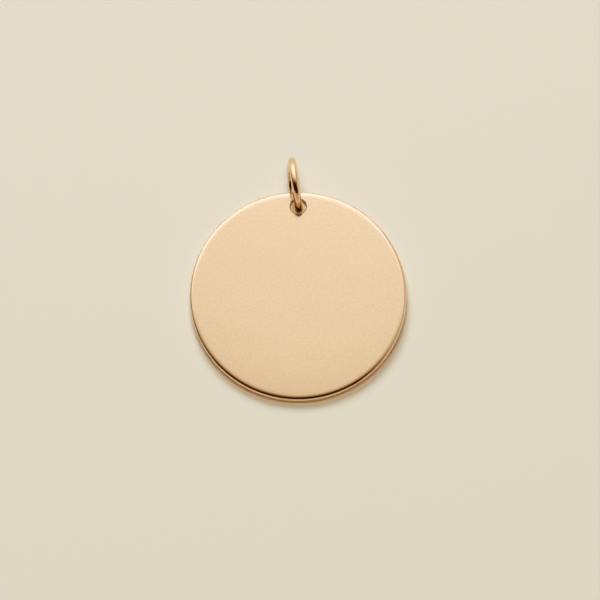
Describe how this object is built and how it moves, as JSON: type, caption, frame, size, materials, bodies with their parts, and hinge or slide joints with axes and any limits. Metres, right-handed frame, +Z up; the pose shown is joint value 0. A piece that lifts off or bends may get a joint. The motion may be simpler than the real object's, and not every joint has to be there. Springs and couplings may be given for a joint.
{
  "type": "disc pendant with jump ring",
  "caption": "Plain round metal disc pendant with a softly rounded rim and a small hole near its edge, on a round wire jump ring, lying face up.",
  "frame": {"origin": "on the surface that the pendant lies on, under the middle of its bounding box", "axes": "+Z up, +Y from the disc towards the jump ring, +X to the disc's right, seen from above with the ring at the top"},
  "size_m": [0.016, 0.0184, 0.0042],
  "materials": {
    "satin_gold": "gold, rolled and tumbled to a soft satin, with fine handling marks",
    "polished_gold": "gold, drawn wire, polished"
  },
  "bodies": {
    "root": {"disc": "satin_gold", "jump_ring": "polished_gold"}
  },
  "joints": []
}
